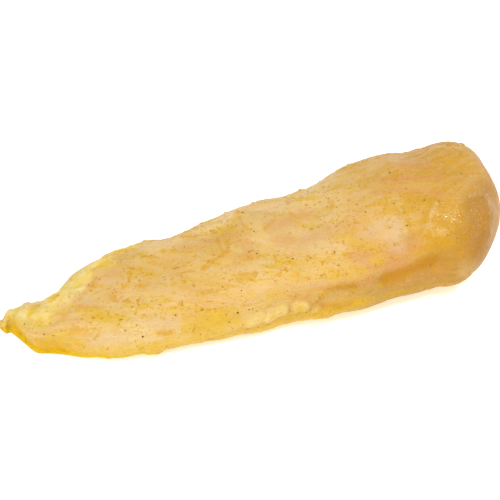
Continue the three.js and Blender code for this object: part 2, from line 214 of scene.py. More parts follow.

# Stains and tints of the surface, with painted sheen, painted shade and painted light among them. Each
# has a path of (share, angle), a reach in millimetres and a strength. Its edge runs from nothing to full
# between two shares of the reach.
TINT_EDGE = (1.9, -0.1)
TINTS = {
    "amber": (
        (((0.445, 99), (0.437, 90), (0.424, 88), (0.402, 85), (0.38, 83)), 1.2, 1.0),
        (((0.431, 103), (0.428, 97), (0.427, 90)), 0.8, 0.8),
        (((0.495, 122), (0.488, 113), (0.485, 106), (0.492, 97)), 0.9, 0.8),
        (((0.545, 100), (0.533, 97), (0.516, 93)), 0.9, 0.7),
        (((0.376, 121), (0.387, 119), (0.396, 114)), 0.8, 0.8),
        (((0.459, 79), (0.486, 75)), 2.6, 0.6),
        (((0.441, 65), (0.464, 60)), 1.3, 0.7),
        (((0.362, 58), (0.391, 56), (0.407, 54)), 1.9, 0.65),
        (((0.256, 99), (0.252, 93), (0.244, 90), (0.23, 88)), 0.9, 0.8),
        (((0.261, 85), (0.265, 83)), 1.6, 0.8),
        (((0.285, 115), (0.304, 104)), 2.0, 0.5),
        (((0.207, 84), (0.207, 79)), 1.2, 0.7),
        (((0.227, 73), (0.229, 72)), 1.2, 0.7),
        (((0.12, 44), (0.137, 37), (0.154, 41)), 1.7, 0.7),
        (((0.03, -4), (0.055, -6), (0.085, -2), (0.12, 2)), 3.2, 0.55),
        (((0.166, 40), (0.162, 32), (0.153, 23)), 0.7, 0.8),
        (((0.142, 79), (0.168, 74)), 1.5, 0.6),
        (((0.104, 82), (0.113, 75)), 1.6, 0.6),
        (((0.247, 71), (0.244, 67)), 0.6, 0.9),
        (((0.327, 111), (0.328, 110)), 1.0, 0.8),
        (((0.318, 78), (0.319, 77)), 1.1, 0.7),
        (((0.31, 66), (0.311, 65)), 1.1, 0.7),
        (((0.333, 86), (0.356, 84)), 1.3, 0.5),
        (((0.266, 17), (0.29, 15)), 0.9, 0.8),
        (((0.888, 99), (0.905, 94)), 1.6, 0.6),
        (((0.781, 92), (0.759, 94)), 1.6, 0.5),
        (((0.653, 98), (0.652, 92)), 1.4, 0.6),
        (((0.568, 61), (0.579, 55), (0.589, 50), (0.605, 50)), 0.9, 0.6),
        (((0.589, 49), (0.59, 48)), 0.7, 1.0),
        (((0.632, 48), (0.633, 47)), 0.6, 0.9),
        (((0.538, 47), (0.539, 46)), 0.7, 1.0),
        (((0.506, 48), (0.507, 47)), 0.7, 0.9),
        (((0.638, 33), (0.655, 29)), 1.6, 0.6),
    ),
    "deep": (
        (((0.7, 13), (0.722, 13), (0.742, 14), (0.761, 15), (0.781, 15), (0.8, 17)), 2.4, 1.0),
        (((0.866, 20), (0.834, 15), (0.803, 16)), 3.6, 0.45),
        (((0.566, 10), (0.583, 18), (0.603, 20), (0.622, 19), (0.637, 15)), 1.6, 0.8),
        (((0.563, 8), (0.573, 3), (0.598, 1), (0.625, 1)), 1.8, 0.6),
        (((0.178, 95), (0.189, 101)), 1.6, 0.5),
    ),
    "yellow": (
        (((0.154, 65), (0.179, 56), (0.202, 50)), 3.4, 0.8),
        (((0.033, 44), (0.052, 54), (0.07, 68)), 1.7, 0.5),
        (((0.051, 80), (0.063, 94), (0.078, 104)), 1.1, 1.0),
        (((0.1, 103), (0.112, 107)), 1.2, 1.0),
        (((0.09, 78), (0.108, 83), (0.13, 86)), 1.3, 0.7),
        (((0.192, 109), (0.207, 113), (0.222, 113)), 1.4, 1.0),
        (((0.472, 6), (0.478, 8)), 0.6, 0.9),
        (((0.528, 7), (0.534, 8), (0.541, 6)), 1.2, 0.7),
        (((0.252, 131), (0.28, 130)), 1.4, 0.9),
        (((0.03, 6), (0.063, 4), (0.093, 10), (0.119, 11)), 4.6, 1.0),
        (((0.125, 0), (0.177, 0), (0.247, -2), (0.341, 0)), 3.2, 0.9),
        (((0.341, 0), (0.437, -5), (0.532, -4), (0.608, -2), (0.65, -1)), 2.6, 1.0),
        (((0.65, -1), (0.706, -4), (0.769, -6), (0.834, -13)), 1.8, 0.6),
        (((0.182, 8), (0.247, 3), (0.29, 2)), 2.6, 0.5),
        (((0.32, 16), (0.345, 14), (0.375, 18), (0.4, 14)), 4.0, 0.85),
        (((0.602, 32), (0.606, 31)), 1.9, 1.0),
        (((0.629, 27), (0.654, 24)), 1.3, 0.7),
        (((0.68, 32), (0.694, 30)), 1.6, 0.9),
        (((0.643, 62), (0.666, 52), (0.682, 44), (0.699, 38)), 3.4, 0.6),
        (((0.72, 93), (0.747, 90), (0.756, 82)), 2.6, 0.4),
        (((0.787, 66), (0.84, 60), (0.85, 46), (0.79, 36)), 7.0, 0.6),
    ),
    "blush": (
        # The first stroke, above the crease, is dark enough to stand for painted shade as well as pink
        # flesh.
        (((0.663, 36), (0.689, 27), (0.719, 24), (0.741, 25)), 3.2, 0.95),
        (((0.531, 94), (0.549, 95), (0.592, 99), (0.61, 99)), 4.4, 0.6),
        (((0.54, 84), (0.59, 78), (0.63, 72), (0.66, 66)), 5.0, 0.6),
        (((0.73, 86), (0.757, 83), (0.79, 78), (0.82, 73), (0.848, 71)), 2.2, 0.8),
        (((0.757, 95), (0.786, 88), (0.827, 87), (0.862, 85)), 2.4, 0.85),
        (((0.807, 102), (0.841, 103), (0.852, 95)), 4.0, 0.6),
        (((0.928, 48), (0.917, 35), (0.9, 28), (0.884, 18)), 3.2, 0.5),
        (((0.74, 5), (0.769, 6), (0.82, 7)), 3.2, 0.45),
        (((0.532, 18), (0.573, 24), (0.622, 24), (0.668, 17)), 3.2, 0.7),
        (((0.186, 94), (0.169, 93), (0.139, 90)), 1.6, 0.6),
        (((0.199, 100), (0.231, 97), (0.244, 99)), 4.4, 0.4),
        (((0.76, 39), (0.756, 31), (0.74, 27)), 2.6, 0.7),
        (((0.67, 52), (0.695, 42), (0.715, 34)), 6.5, 0.6),
        (((0.655, 41), (0.69, 36), (0.72, 34), (0.765, 35)), 3.6, 0.9),
        (((0.462, 98), (0.479, 87), (0.449, 79)), 5.0, 0.6),
        (((0.36, 108), (0.4, 104), (0.44, 104)), 4.0, 0.6),
    ),
    # Pale: whitish flesh and membrane, partly painted sheen where the wet top catches a soft box.
    "pale": (
        (((0.742, 53), (0.742, 46), (0.735, 41)), 4.0, 1.0),
        (((0.68, 59), (0.702, 58), (0.717, 57)), 3.4, 0.85),
        (((0.392, 79), (0.417, 75), (0.454, 69)), 1.7, 0.8),
        (((0.403, 37), (0.442, 33), (0.466, 34)), 1.9, 0.8),
        (((0.437, 42), (0.468, 41), (0.501, 38), (0.53, 33)), 2.0, 0.55),
        (((0.512, 38), (0.538, 32), (0.575, 31), (0.608, 28)), 1.7, 0.8),
        (((0.549, 53), (0.582, 44), (0.62, 41)), 2.4, 0.5),
        (((0.561, 69), (0.595, 62), (0.628, 54)), 4.2, 0.5),
        (((0.646, 75), (0.675, 80), (0.702, 79)), 4.4, 0.4),
        (((0.506, 121), (0.531, 109), (0.533, 100)), 3.2, 0.5),
        (((0.385, 111), (0.401, 98), (0.384, 92)), 2.6, 0.4),
        (((0.243, 126), (0.268, 128), (0.28, 119)), 1.3, 0.7),
        (((0.194, 100), (0.213, 91), (0.224, 92)), 2.8, 0.5),
        (((0.158, 85), (0.17, 79)), 1.7, 0.7),
        (((0.149, 90), (0.186, 89), (0.209, 90)), 2.6, 0.5),
        (((0.043, 30), (0.068, 42), (0.096, 49)), 2.0, 0.85),
        (((0.109, 25), (0.137, 19), (0.162, 14)), 1.5, 0.9),
        (((0.154, 19), (0.182, 22), (0.2, 18)), 4.2, 0.7),
        (((0.254, 37), (0.28, 32), (0.298, 27)), 3.2, 0.7),
        (((0.217, 46), (0.257, 44), (0.285, 41)), 2.2, 0.5),
        (((0.121, 64), (0.135, 58), (0.153, 54)), 2.2, 0.6),
        (((0.855, 4), (0.88, 4), (0.9, 8), (0.915, 14)), 3.4, 0.6),
    ),
    "furrow": (
        (((0.556, 65), (0.573, 57), (0.595, 49), (0.626, 36)), 0.4, 1.0),
        (((0.499, 57), (0.545, 49), (0.582, 39)), 0.35, 0.9),
        (((0.491, 47), (0.542, 43), (0.596, 30)), 0.35, 0.9),
        (((0.599, 41), (0.632, 33), (0.679, 26)), 0.35, 1.0),
        (((0.588, 40), (0.622, 31), (0.667, 22)), 0.35, 1.0),
        (((0.412, 71), (0.457, 63), (0.508, 47)), 0.35, 0.8),
        (((0.283, 61), (0.351, 48), (0.412, 34)), 0.35, 0.7),
        (((0.263, 58), (0.33, 43), (0.4, 26)), 0.35, 0.7),
        (((0.22, 84), (0.291, 76), (0.361, 67)), 0.35, 0.6),
        (((0.254, 98), (0.313, 98), (0.365, 92)), 0.4, 0.6),
        (((0.451, 82), (0.485, 66), (0.532, 59)), 0.35, 0.7),
        (((0.036, 21), (0.06, 33), (0.099, 39)), 0.4, 0.7),
    ),
    # Painted sheen: whitish highlights on the top edges, and painted glints on the wet shoulder.
    "painted_sheen": (
        (((0.541, 121), (0.585, 121), (0.622, 118), (0.655, 119), (0.682, 119)), 2.0, 0.5),
        (((0.401, 122), (0.444, 121), (0.476, 122)), 2.2, 0.7),
        (((0.294, 129), (0.34, 124), (0.365, 118)), 2.2, 0.6),
        (((0.897, 119), (0.92, 112), (0.943, 104)), 1.8, 0.5),
        (((0.93, 73), (0.95, 69), (0.965, 67)), 0.5, 0.5),
        (((0.924, 57), (0.94, 52), (0.957, 48)), 0.5, 0.5),
        (((0.832, 63), (0.818, 55), (0.807, 47), (0.79, 40)), 0.9, 0.7),
        (((0.905, 59), (0.945, 56)), 0.5, 0.5),
        (((0.848, 61), (0.858, 58), (0.865, 54)), 0.5, 0.6),
        (((0.81, 45), (0.822, 41), (0.84, 41)), 2.2, 0.3),
        (((0.034, 15), (0.06, 26), (0.1, 34)), 0.8, 0.6),
        (((0.026, 35), (0.039, 33), (0.066, 48), (0.102, 48)), 0.6, 0.6),
        (((0.4, 77), (0.427, 72), (0.452, 68)), 0.5, 0.6),
        (((0.47, 74), (0.5, 64), (0.53, 56)), 0.5, 0.6),
        (((0.46, 58), (0.5, 50), (0.535, 40)), 0.5, 0.6),
        (((0.55, 62), (0.575, 52), (0.61, 40)), 0.5, 0.5),
    ),
    "cream": (
        (((0.028, 64), (0.038, 84), (0.046, 78)), 1.8, 0.85),
        (((0.062, 85), (0.078, 87), (0.09, 88)), 2.2, 0.6),
        (((0.087, 104), (0.11, 97), (0.132, 94), (0.147, 97)), 2.8, 0.65),
        (((0.15, 96), (0.16, 97), (0.167, 98)), 1.5, 1.0),
        (((0.17, 114), (0.192, 117), (0.217, 122)), 1.5, 0.8),
        (((0.34, 2), (0.375, 4), (0.4, 6), (0.421, 7)), 1.4, 0.3),
        (((0.432, 6), (0.448, 9), (0.46, 12)), 1.2, 0.25),
        (((0.464, 6), (0.482, 9), (0.504, 9)), 1.2, 0.3),
        # The arc over the largest lobe's top is partly painted highlight on its upper edge.
        (((0.521, 10), (0.528, 14.5), (0.541, 12.5), (0.549, 6)), 0.9, 0.4),
        # This cream stroke at the nub is painted light, a paler tint that lifts the shade in the nub's
        # pocket.
        (((0.012, 20), (0.018, 60), (0.014, 0)), 1.5, 0.8),
        (((0.559, 1), (0.566, 5), (0.572, 2)), 0.6, 0.7),
    ),
    "fat": (
        # The first two fat strokes are paler than what lies there: painted light that lifts the shade at
        # the nub and in the fold under the tip's fat.
        (((0.0, 0), (0.01, 40), (0.01, 90), (0.01, -20)), 3.4, 1.0),
        (((0.028, 40), (0.055, 54), (0.085, 68)), 2.2, 0.8),
        (((0.432, 6), (0.456, 11)), 1.8, 0.5),
        (((0.464, 7), (0.482, 9), (0.504, 9)), 1.8, 0.5),
        (((0.526, 9), (0.533, 12), (0.541, 9)), 1.8, 0.5),
        (((0.02, 90), (0.043, 84), (0.085, 88), (0.118, 104)), 4.2, 1.0),
        (((0.118, 104), (0.15, 105), (0.18, 113), (0.212, 118)), 4.4, 1.0),
        (((0.2, 124), (0.25, 136), (0.29, 138)), 2.6, 0.9),
        (((0.1, 125), (0.14, 130), (0.19, 126)), 4.0, 0.9),
    ),
}

# Stains and painted sheen that noise puts on the back: tint, size in millimetres, seed and strength.
BACK_STAINS = (
    ("amber", (7, 4.5, 4.5), 51, 0.5),
    ("yellow", (16, 9, 8), 52, 0.6),
    ("blush", (22, 12, 11), 53, 0.8),
    ("pale", (18, 9, 8), 54, 0.6),
    ("painted_sheen", (14, 8, 6), 55, 0.4),
)

# Dark specks of pepper that show one by one: share, angle and width in millimetres.
PEPPER = (
    (0.043, 48, 0.9),
    (0.07, 34, 0.7),
    (0.086, 30, 0.7),
    (0.236, 17, 1.1),
    (0.306, 84, 0.6),
    (0.368, 107, 0.5),
    (0.445, 117, 0.5),
    (0.415, 21, 0.9),
    (0.437, 22, 0.6),
    (0.444, 22, 0.5),
    (0.397, 12, 0.6),
    (0.362, 84, 0.5),
    (0.4, 57, 0.5),
    (0.431, 48, 0.6),
    (0.484, 79, 0.7),
    (0.541, 63, 0.7),
    (0.498, 94, 0.7),
    (0.632, 122, 0.6),
    (0.69, 84, 0.6),
    (0.779, 97, 0.9),
    (0.814, 66, 0.8),
    (0.764, 50, 0.7),
    (0.851, 37, 0.5),
    (0.853, 33, 0.5),
    (0.934, 50, 0.6),
    (0.915, 80, 0.8),
)

# An uneven little lump of pepper: its corners before they are pushed in and out, and its faces.
LUMP = np.array([(1, 0, 0), (0, 1, 0), (-1, 0, 0), (0, -1, 0), (0, 0, 1), (0, 0, -1),
                 (0.7, 0.7, 0.5), (-0.7, 0.7, 0.5), (-0.7, -0.7, 0.5), (0.7, -0.7, 0.5)])
LUMP_FACES = ((0, 6, 9), (0, 1, 6), (1, 7, 6), (1, 2, 7), (2, 8, 7), (2, 3, 8), (3, 9, 8), (3, 0, 9),
              (4, 6, 7), (4, 7, 8), (4, 8, 9), (4, 9, 6), (5, 1, 0), (5, 2, 1), (5, 3, 2), (5, 0, 3))

# Scattered grains: the least and the most of their sides, how far they turn, how flat they are.
GRAIN_LEAST = (0.7, 0.5, 0.6)
GRAIN_MOST = (1.5, 1.0, 1.0)
GRAIN_TURN = (0.5, 0.5, 2 * math.pi)
GRAIN_FLATNESS = 0.45

# Painted specks of spice: cells to the metre, size in the cell and strength.
PAINTED_DOTS = ((1300.0, 0.8, 0.5), (700.0, 0.6, 0.8), (330.0, 0.36, 0.95))

# The finest relief of the skin, in metres, and the masks that more than one layer reads.
FINEST_RELIEF = 0.00006
BROAD_MASKS = ("dusting", "capped", "wrinkled", "shoulder", "flank", "golden", "combed", "foot")

# How much brighter than its own colour a surface looks in this studio's light, and the lights:
# the light from all round, the floor's own glow, and the place, size and power of soft boxes.
STUDIO_GAIN = 1.39
STUDIO_SHEEN = 0.03
WORLD_LIGHT = 0.72
FLOOR_GLOW = 0.5
FLOOR_HALF = 3
SOFT_BOXES = (
    ("overhead soft box", (0.5, -0.35, 0.845), 0.17, 4.2),
    ("front soft box", (0.05, -0.5, 0.87), 0.1, 1.8),
    ("left soft box", (-0.75, -0.3, 0.6), 0.7, 4.6),
)


def smooth_step(value, low, high):
    """Rises smoothly from 0 at low to 1 at high."""
    share = np.clip((value - low) / (high - low), 0, 1)
    return share * share * (3 - 2 * share)


def section_value(column, at):
    """One column of the sections at shares of the length, on a smooth curve."""
    places = SECTIONS[:, 0]
    values = SECTIONS[:, SECTION_COLUMNS.index(column)]
    last = len(places) - 1
    before = np.maximum(np.arange(last + 1) - 1, 0)
    after = np.minimum(np.arange(last + 1) + 1, last)
    slopes = (values[after] - values[before]) / (places[after] - places[before])
    i = np.clip(np.searchsorted(places, at, side="right") - 1, 0, last - 1)
    span = places[i + 1] - places[i]
    t = (at - places[i]) / span
    t2 = t * t
    t3 = t2 * t
    return (
        (2 * t3 - 3 * t2 + 1) * values[i]
        + (t3 - 2 * t2 + t) * span * slopes[i]
        + (3 * t2 - 2 * t3) * values[i + 1]
        + (t3 - t2) * span * slopes[i + 1]
    )


def draw_in(end, from_end, cosine):
    """How much of a section's size is left where an end rounds over."""
    reach = end["back"] + (end["front"] - end["back"]) * (0.5 + 0.5 * cosine)
    depth = np.clip(1 - from_end / reach, 0, 1)
    return (1 - depth ** end["power"]) ** (1 / end["power"])


def form_point(at, angle):
    """Points of the plain form, in millimetres, for shares of the length and angles."""
    share = np.clip(at, 0, 1)
    cosine = np.cos(np.radians(angle))
    sine = np.sin(np.radians(angle))
    front = -WIDTH * section_value("front", share)
    back = WIDTH * section_value("back", share)
    crown = THICKNESS * section_value("crown", share)
    belly = crown * section_value("belly", share)
    middle = front + (back - front) * section_value("lean", share)
    square = np.where(sine >= 0, section_value("square", share), UNDERSIDE_SQUARE)
    side = np.where(cosine >= 0, front, back)
    top = np.where(sine >= 0, crown, -SAG)
    y = middle + (side - middle) * np.abs(cosine) ** (2 / square)
    z = belly + (top - belly) * np.abs(sine) ** (2 / square)
    for end, from_end in ((TIP, share * LENGTH), (END, (1 - share) * LENGTH)):
        left = draw_in(end, from_end, cosine)
        y = end["y"] + (y - end["y"]) * left
        z = end["z"] + (z - end["z"]) * left
    x = (share - 0.5) * LENGTH + 0 * y
    return np.stack((x, y + ASIDE, z), axis=-1)


def form_normal(at, angle):
    """The direction that faces out of the plain form."""
    step = PROBE / LENGTH
    along = form_point(at + step, angle) - form_point(at - step, angle)
    around = form_point(at, angle + PROBE) - form_point(at, angle - PROBE)
    normal = np.cross(along, around)
    size = np.linalg.norm(normal, axis=-1, keepdims=True)
    return normal / np.maximum(size, TINY)


def path_points(path):
    """Points of the form, close together, along a path of shares and angles."""
    corners = np.array(path, float)
    chords = np.linalg.norm(np.diff(form_point(corners[:, 0], corners[:, 1]), axis=0), axis=-1)
    travelled = np.concatenate(([0], np.cumsum(chords)))
    count = max(FEWEST_STOPS, int(travelled[-1] / PATH_STEP) + 1)
    stops = np.linspace(0, travelled[-1], count)
    at = np.interp(stops, travelled, corners[:, 0])
    angle = np.interp(stops, travelled, corners[:, 1])
    return form_point(at, angle)


def distance_to_path(points, path):
    """How far each point is from a path's nearest point, in millimetres."""
    nearest = np.full(points.shape[:-1], np.inf)
    for stop in path_points(path):
        nearest = np.minimum(nearest, np.sum((points - stop) ** 2, axis=-1))
    return np.sqrt(nearest)


def inside_path(points, path, reach):
    """How far inside a path's reach each point is, from 0 at its rim to 1 on the path."""
    return np.maximum(0, 1 - (distance_to_path(points, path) / reach) ** 2)


def fold_lift(points):
    """The folds of the muscle."""
    lift = np.zeros(points.shape[:-1])
    for path, reach, height in FOLDS.values():
        inside = inside_path(points, path, reach)
        lift += height * inside * inside
    return lift


def noise(coordinates, scale, seed):
    """Smooth random values from -1 to 1, with bumps about one scale apart."""
    table = np.random.default_rng(seed).uniform(-1, 1, (NOISE_SIDE,) * 3)
    grid = coordinates / np.asarray(scale, float)
    cell = np.floor(grid).astype(int)
    part = grid - cell
    part = part * part * (3 - 2 * part)
    total = np.zeros(grid.shape[:-1])
    for corner in np.ndindex(2, 2, 2):
        index = (cell + corner) % NOISE_SIDE
        weight = np.prod(np.where(np.array(corner) == 1, part, 1 - part), axis=-1)
        total += weight * table[index[..., 0], index[..., 1], index[..., 2]]
    return total


def layered(points, layers):
    """Noise of several sizes added up: the height, size and seed of each."""
    return sum(height * noise(points, size, seed) for height, size, seed in layers)


def uneven(points):
    """The points pushed about a little, so that what is drawn round them isn't regular."""
    pushes = [layered(points, ((0.9, 3.6, seed), (0.4, 1.7, seed + 3))) for seed in (41, 42, 43)]
    return points + np.stack(pushes, axis=-1)


def pad_lift(points):
    """The pads and lobes of fat, with rounder edges than the folds."""
    bent = uneven(points)
    lift = np.zeros(points.shape[:-1])
    for at, angle, reach, height, stretch in FAT_PADS:
        away = (bent - form_point(at, angle)) / (reach * np.array((stretch, 1, 1)))
        inside = np.maximum(0, 1 - np.sum(away ** 2, axis=-1))
        lift = np.maximum(lift, height * inside ** PAD_ROUNDNESS)
    for path, reach, height in FAT_LOBES:
        lift = np.maximum(lift, height * inside_path(points, path, reach) ** LOBE_ROUNDNESS)
    return lift


def wave_lift(points):
    """The uneven swell of soft meat."""
    lift = np.zeros(points.shape[:-1])
    for along, across, height, shift in WAVES:
        turns = points[..., 0] / along + points[..., 1] / across
        lift += height * np.sin(turns * 2 * np.pi + shift)
    return lift


def place_rings():
    """Shares of the length at which the fine mesh has its rings."""
    tip_share = TIP["front"] / LENGTH
    end_share = END["front"] / LENGTH
    tip_turn = np.arange(1, TIP_RINGS + 1) / TIP_RINGS * np.pi / 2
    end_turn = np.arange(END_RINGS, 0, -1) / END_RINGS * np.pi / 2
    middle = np.linspace(tip_share, 1 - end_share, MIDDLE_RINGS + 1)[1:-1]
    tip = tip_share * (1 - np.cos(tip_turn))
    end = 1 - end_share * (1 - np.cos(end_turn))
    return np.concatenate((tip, middle, end))


def place_angles():
    """Angles round a section, from the middle of the underside."""
    angles = []
    for quarter, count in enumerate(QUARTER_POINTS):
        angles.extend(FIRST_ANGLE + 90 * (quarter + np.arange(count) / count))
    return np.array(angles)


def fibre_coordinates(at, angle):
    """Places on the surface that follow the muscle's fibres: along, across and zero."""
    turned = FIBRE_TURN * smooth_step(at, *FIBRE_SPAN) * smooth_step(angle, -20, 40)
    swayed = angle + turned + FIBRE_SWAY * np.sin(at * FIBRE_BENDS)
    across = swayed / 360 * WIDTH * FIBRE_STRETCH
    return np.stack((at * LENGTH + 0 * across, across, 0 * across), axis=-1)


def region(at, angle, name):
    """A soft oval patch of the surface: 1 at its centre and 0 past its reach."""
    centre, reach = PATCHES[name]
    away = ((at - centre[0]) / reach[0]) ** 2 + ((angle - centre[1]) / reach[1]) ** 2
    return smooth_step(away, 1, 0)


def wet_share(at, angle):
    """Where the skin is wet and wrinkled: the shoulder end, and a strip down to the crease."""
    return np.maximum(region(at, angle, "wet end"), 0.35 * region(at, angle, "wet strip"))


def cap_share(at, angle):
    """1 over the middle of the shoulder end, where the sections close in on one point."""
    left = draw_in(END, (1 - at) * LENGTH, np.cos(np.radians(angle)))
    return smooth_step(left, *CAP_EDGE)


def back_share(angle):
    """1 round the back, which the tints don't reach."""
    return smooth_step(angle, 112, 140) * smooth_step(angle, 265, 235)


def hidden_share(at, angle):
    """1 over all that the tints don't reach: the back, the underside and the shoulder's end."""
    under = np.maximum(smooth_step(angle, -25, -50), smooth_step(angle, 112, 140))
    cap = cap_share(at, angle)
    return np.maximum(under * smooth_step(at, 0.12, 0.3) * (1 - cap), 0.6 * cap)


def combed_share(at, angle, base):
    """Where the lines of the muscle's fibres show most."""
    most = np.maximum(region(at, angle, "combed middle"), region(at, angle, "combed tip"))
    combed = np.clip(0.4 + 0.3 * noise(base, 16, 26) + most, 0, 1.2)
    return combed * (1 - cap_share(at, angle))


def tint_masks(points):
    """How strongly each tint colours each point, with uneven edges."""
    ragged = layered(points, RAGGED_EDGE)
    masks = {}
    for name, tints in TINTS.items():
        mask = np.zeros(points.shape[:-1])
        for path, reach, strength in tints:
            far = distance_to_path(points, path) / reach + ragged
            mask = np.maximum(mask, strength * smooth_step(far, *TINT_EDGE))
        masks[name] = mask
    return masks


def stain_the_back(at, angle, points, masks):
    """Stains, and painted sheen, on the sides that don't show in the camera, put there by noise."""
    hidden = hidden_share(at, angle)
    for name, size, seed, strength in BACK_STAINS:
        stained = smooth_step(noise(points, size, seed), 0.1, 0.6)
        masks[name] = np.maximum(masks[name], strength * hidden * stained)


def fine_lift(at, angle, points, masks):
    """Relief that is too small for the solid: fibres, lumps, wrinkles and lumpy fat."""
    height = points[..., 2]
    lift = layered(points, SOFT_LUMPS)
    grain = layered(fibre_coordinates(at, angle), FIBRE_LINES)
    lift += grain * (1 - masks["fat"]) * (1 - cap_share(at, angle)) - 0.1 * masks["furrow"]
    lift += back_share(angle) * layered(points, BACK_LUMPS)
    lift += masks["fat"] * layered(points, FAT_LUMPS)
    ridges = 0.6 - np.abs(noise(points, (2.6, 1.8, 1.8), 7)) - 0.5 * np.abs(noise(points, 1.3, 8))
    lift += 0.05 * wet_share(at, angle) * ridges
    back_edge = smooth_step(angle, 92, 112) * smooth_step(angle, 200, 160)
    edge = np.maximum(back_edge, smooth_step(height, 5, 2))
    lift += 0.9 * edge * np.maximum(0, noise(points, 1.9, 14) - 0.4)
    lift += smooth_step(height, 8, 2) * layered(points, FOOT_LUMPS)
    return lift


def keep_inside(points):
    """The points, with none outside the solid's own box."""
    return np.clip(points, np.array(cad_box[0]) / MM, np.array(cad_box[1]) / MM)


def surface_point(at, angle, masks, base):
    """Points of the finished surface, pressed flat where it meets the table."""
    lift = wave_lift(base) + fold_lift(base) + pad_lift(base)
    lift += fine_lift(at, angle, base, masks)
    lift *= smooth_step(base[..., 2], 0, LIFT)
    points = base + form_normal(at, angle) * lift[..., None]
    points[..., 2] = np.maximum(points[..., 2], 0)
    return keep_inside(points)


def closed_skin(rings, around):
    """Faces that join rings of points into a closed skin, with a fan at each pole."""
    ring, turn = np.meshgrid(np.arange(rings - 1), np.arange(around), indexing="ij")
    after = (turn + 1) % around
    quads = np.stack(
        (ring * around + turn, (ring + 1) * around + turn,
         (ring + 1) * around + after, ring * around + after), axis=-1,
    ).reshape(-1, 4).tolist()
    tip = rings * around
    last = (rings - 1) * around
    for j in range(around):
        k = (j + 1) % around
        quads.append((tip, j, k))
        quads.append((tip + 1, last + k, last + j))
    return quads


def mesh_object(name, points, faces):
    """A smooth-shaded object whose mesh has points in millimetres."""
    mesh = bpy.data.meshes.new(name)
    mesh.from_pydata((np.asarray(points) * MM).tolist(), [], faces)
    mesh.shade_smooth()
    piece = bpy.data.objects.new(name, mesh)
    bpy.context.scene.collection.objects.link(piece)
    return piece


def write_mask(mesh, name, values):
    """Keeps one number for each vertex, which materials read by name."""
    attribute = mesh.attributes.new(name, "FLOAT", "POINT")
    attribute.data.foreach_set("value", np.asarray(values, np.float32).ravel())


def write_fibre_map(mesh, fibres, around):
    """A UV map in metres that runs along and across the muscle's fibres."""
    layer = mesh.uv_layers.new(name="fibres")
    vertex = np.zeros(len(mesh.loops), int)
    mesh.loops.foreach_get("vertex_index", vertex)
    total = np.zeros(len(mesh.polygons), int)
    mesh.polygons.foreach_get("loop_total", total)
    places = fibres[vertex, :2].copy()
    column = vertex % around
    polygon = np.repeat(np.arange(len(total)), total)
    wraps = np.zeros(len(total), bool)
    np.logical_or.at(wraps, polygon, column == around - 1)
    seam = wraps[polygon] & (column == 0) & (vertex < len(fibres) - 2)
    places[seam, 1] += WIDTH * FIBRE_STRETCH
    layer.uv.foreach_set("vector", (places * MM).astype(np.float32).ravel())


def spice_dusting(at, angle, height, base, masks, end):
    """How thickly spice lies: in clusters, thin on fat, low down and on the shoulder's end."""
    cap = cap_share(at, angle)
    drifts = layered(fibre_coordinates(at, angle), SPICE_DRIFTS)
    clusters = 0.5 + (1 - cap) * drifts + cap * 0.8 * noise(base, 7, 27)
    bare = np.maximum(masks["fat"] * 0.55, masks["pale"] * 0.5)
    sides = 0.35 + 0.65 * np.maximum(smooth_step(angle, 8, 34) * (1 - cap), cap * 0.5)
    clusters += 0.4 * smooth_step(at, 0.7, 0.8) + 0.4 * region(at, angle, "spiced back")
    clusters += 0.5 * region(at, angle, "spiced middle")
    dusting = np.maximum(clusters, 0.06) * (1 - bare) * sides * smooth_step(height, 1.2, 3.5)
    dusting *= (1 - 0.6 * end) * (0.65 + 0.35 * smooth_step(at, 0.15, 0.36))
    dusting *= 1 - 0.25 * region(at, angle, "clean neck")
    stained = np.maximum(np.maximum(masks["amber"], masks["deep"]), masks["yellow"] * 0.5)
    return np.clip(dusting + 0.3 * stained, 0, 1.5)


def flank_shade_share(at, angle, ragged_at):
    """Painted shade: below the crease, on the tip's front and under the crease, where the skin is also
    dull.
    """
    top = 32 + 14 * smooth_step(at, 0.76, 0.86)
    wall = smooth_step(angle, top, top - 18) * smooth_step(angle, -85, -30)
    wall = wall * (1 - cap_share(at, angle)) * smooth_step(ragged_at, 0.5, 0.68)
    tip_wall = 0.7 * region(at, angle, "tip wall")
    return np.maximum(wall, np.maximum(tip_wall, 0.65 * region(at, angle, "under the crease")))


def surface_gradients(at, angle, points, base, masks):
    """Broad changes over the surface: how much spice lies on it, its foot, its shoulder end with its
    painted shade, and the painted shade of its front wall.
    """
    height = points[..., 2]
    cap = cap_share(at, angle)
    ragged_at = at + 0.03 * noise(base, 9, 25)
    # The shoulder's end: spice thins there, and it takes painted shade in golden brown.
    end = smooth_step(ragged_at, 0.81, 0.94) * np.maximum(smooth_step(angle, 80, 46), cap)
    foot = smooth_step(height + 0.9 * noise(base, 4.5, 23), 5.4, 2.4)
    return {
        "dusting": spice_dusting(at, angle, height, base, masks, end),
        "foot": foot * smooth_step(height, 0, 0.3),
        "flank": flank_shade_share(at, angle, ragged_at),
        "shoulder": smooth_step(at + 0.04 * noise(base, 14, 24), 0.58, 0.86),
        "end": end,
        "golden": np.maximum(region(at, angle, "front gold"), region(at, angle, "back gold")),
        "wrinkled": wet_share(at, angle),
        "combed": combed_share(at, angle, base),
        "capped": cap,
    }


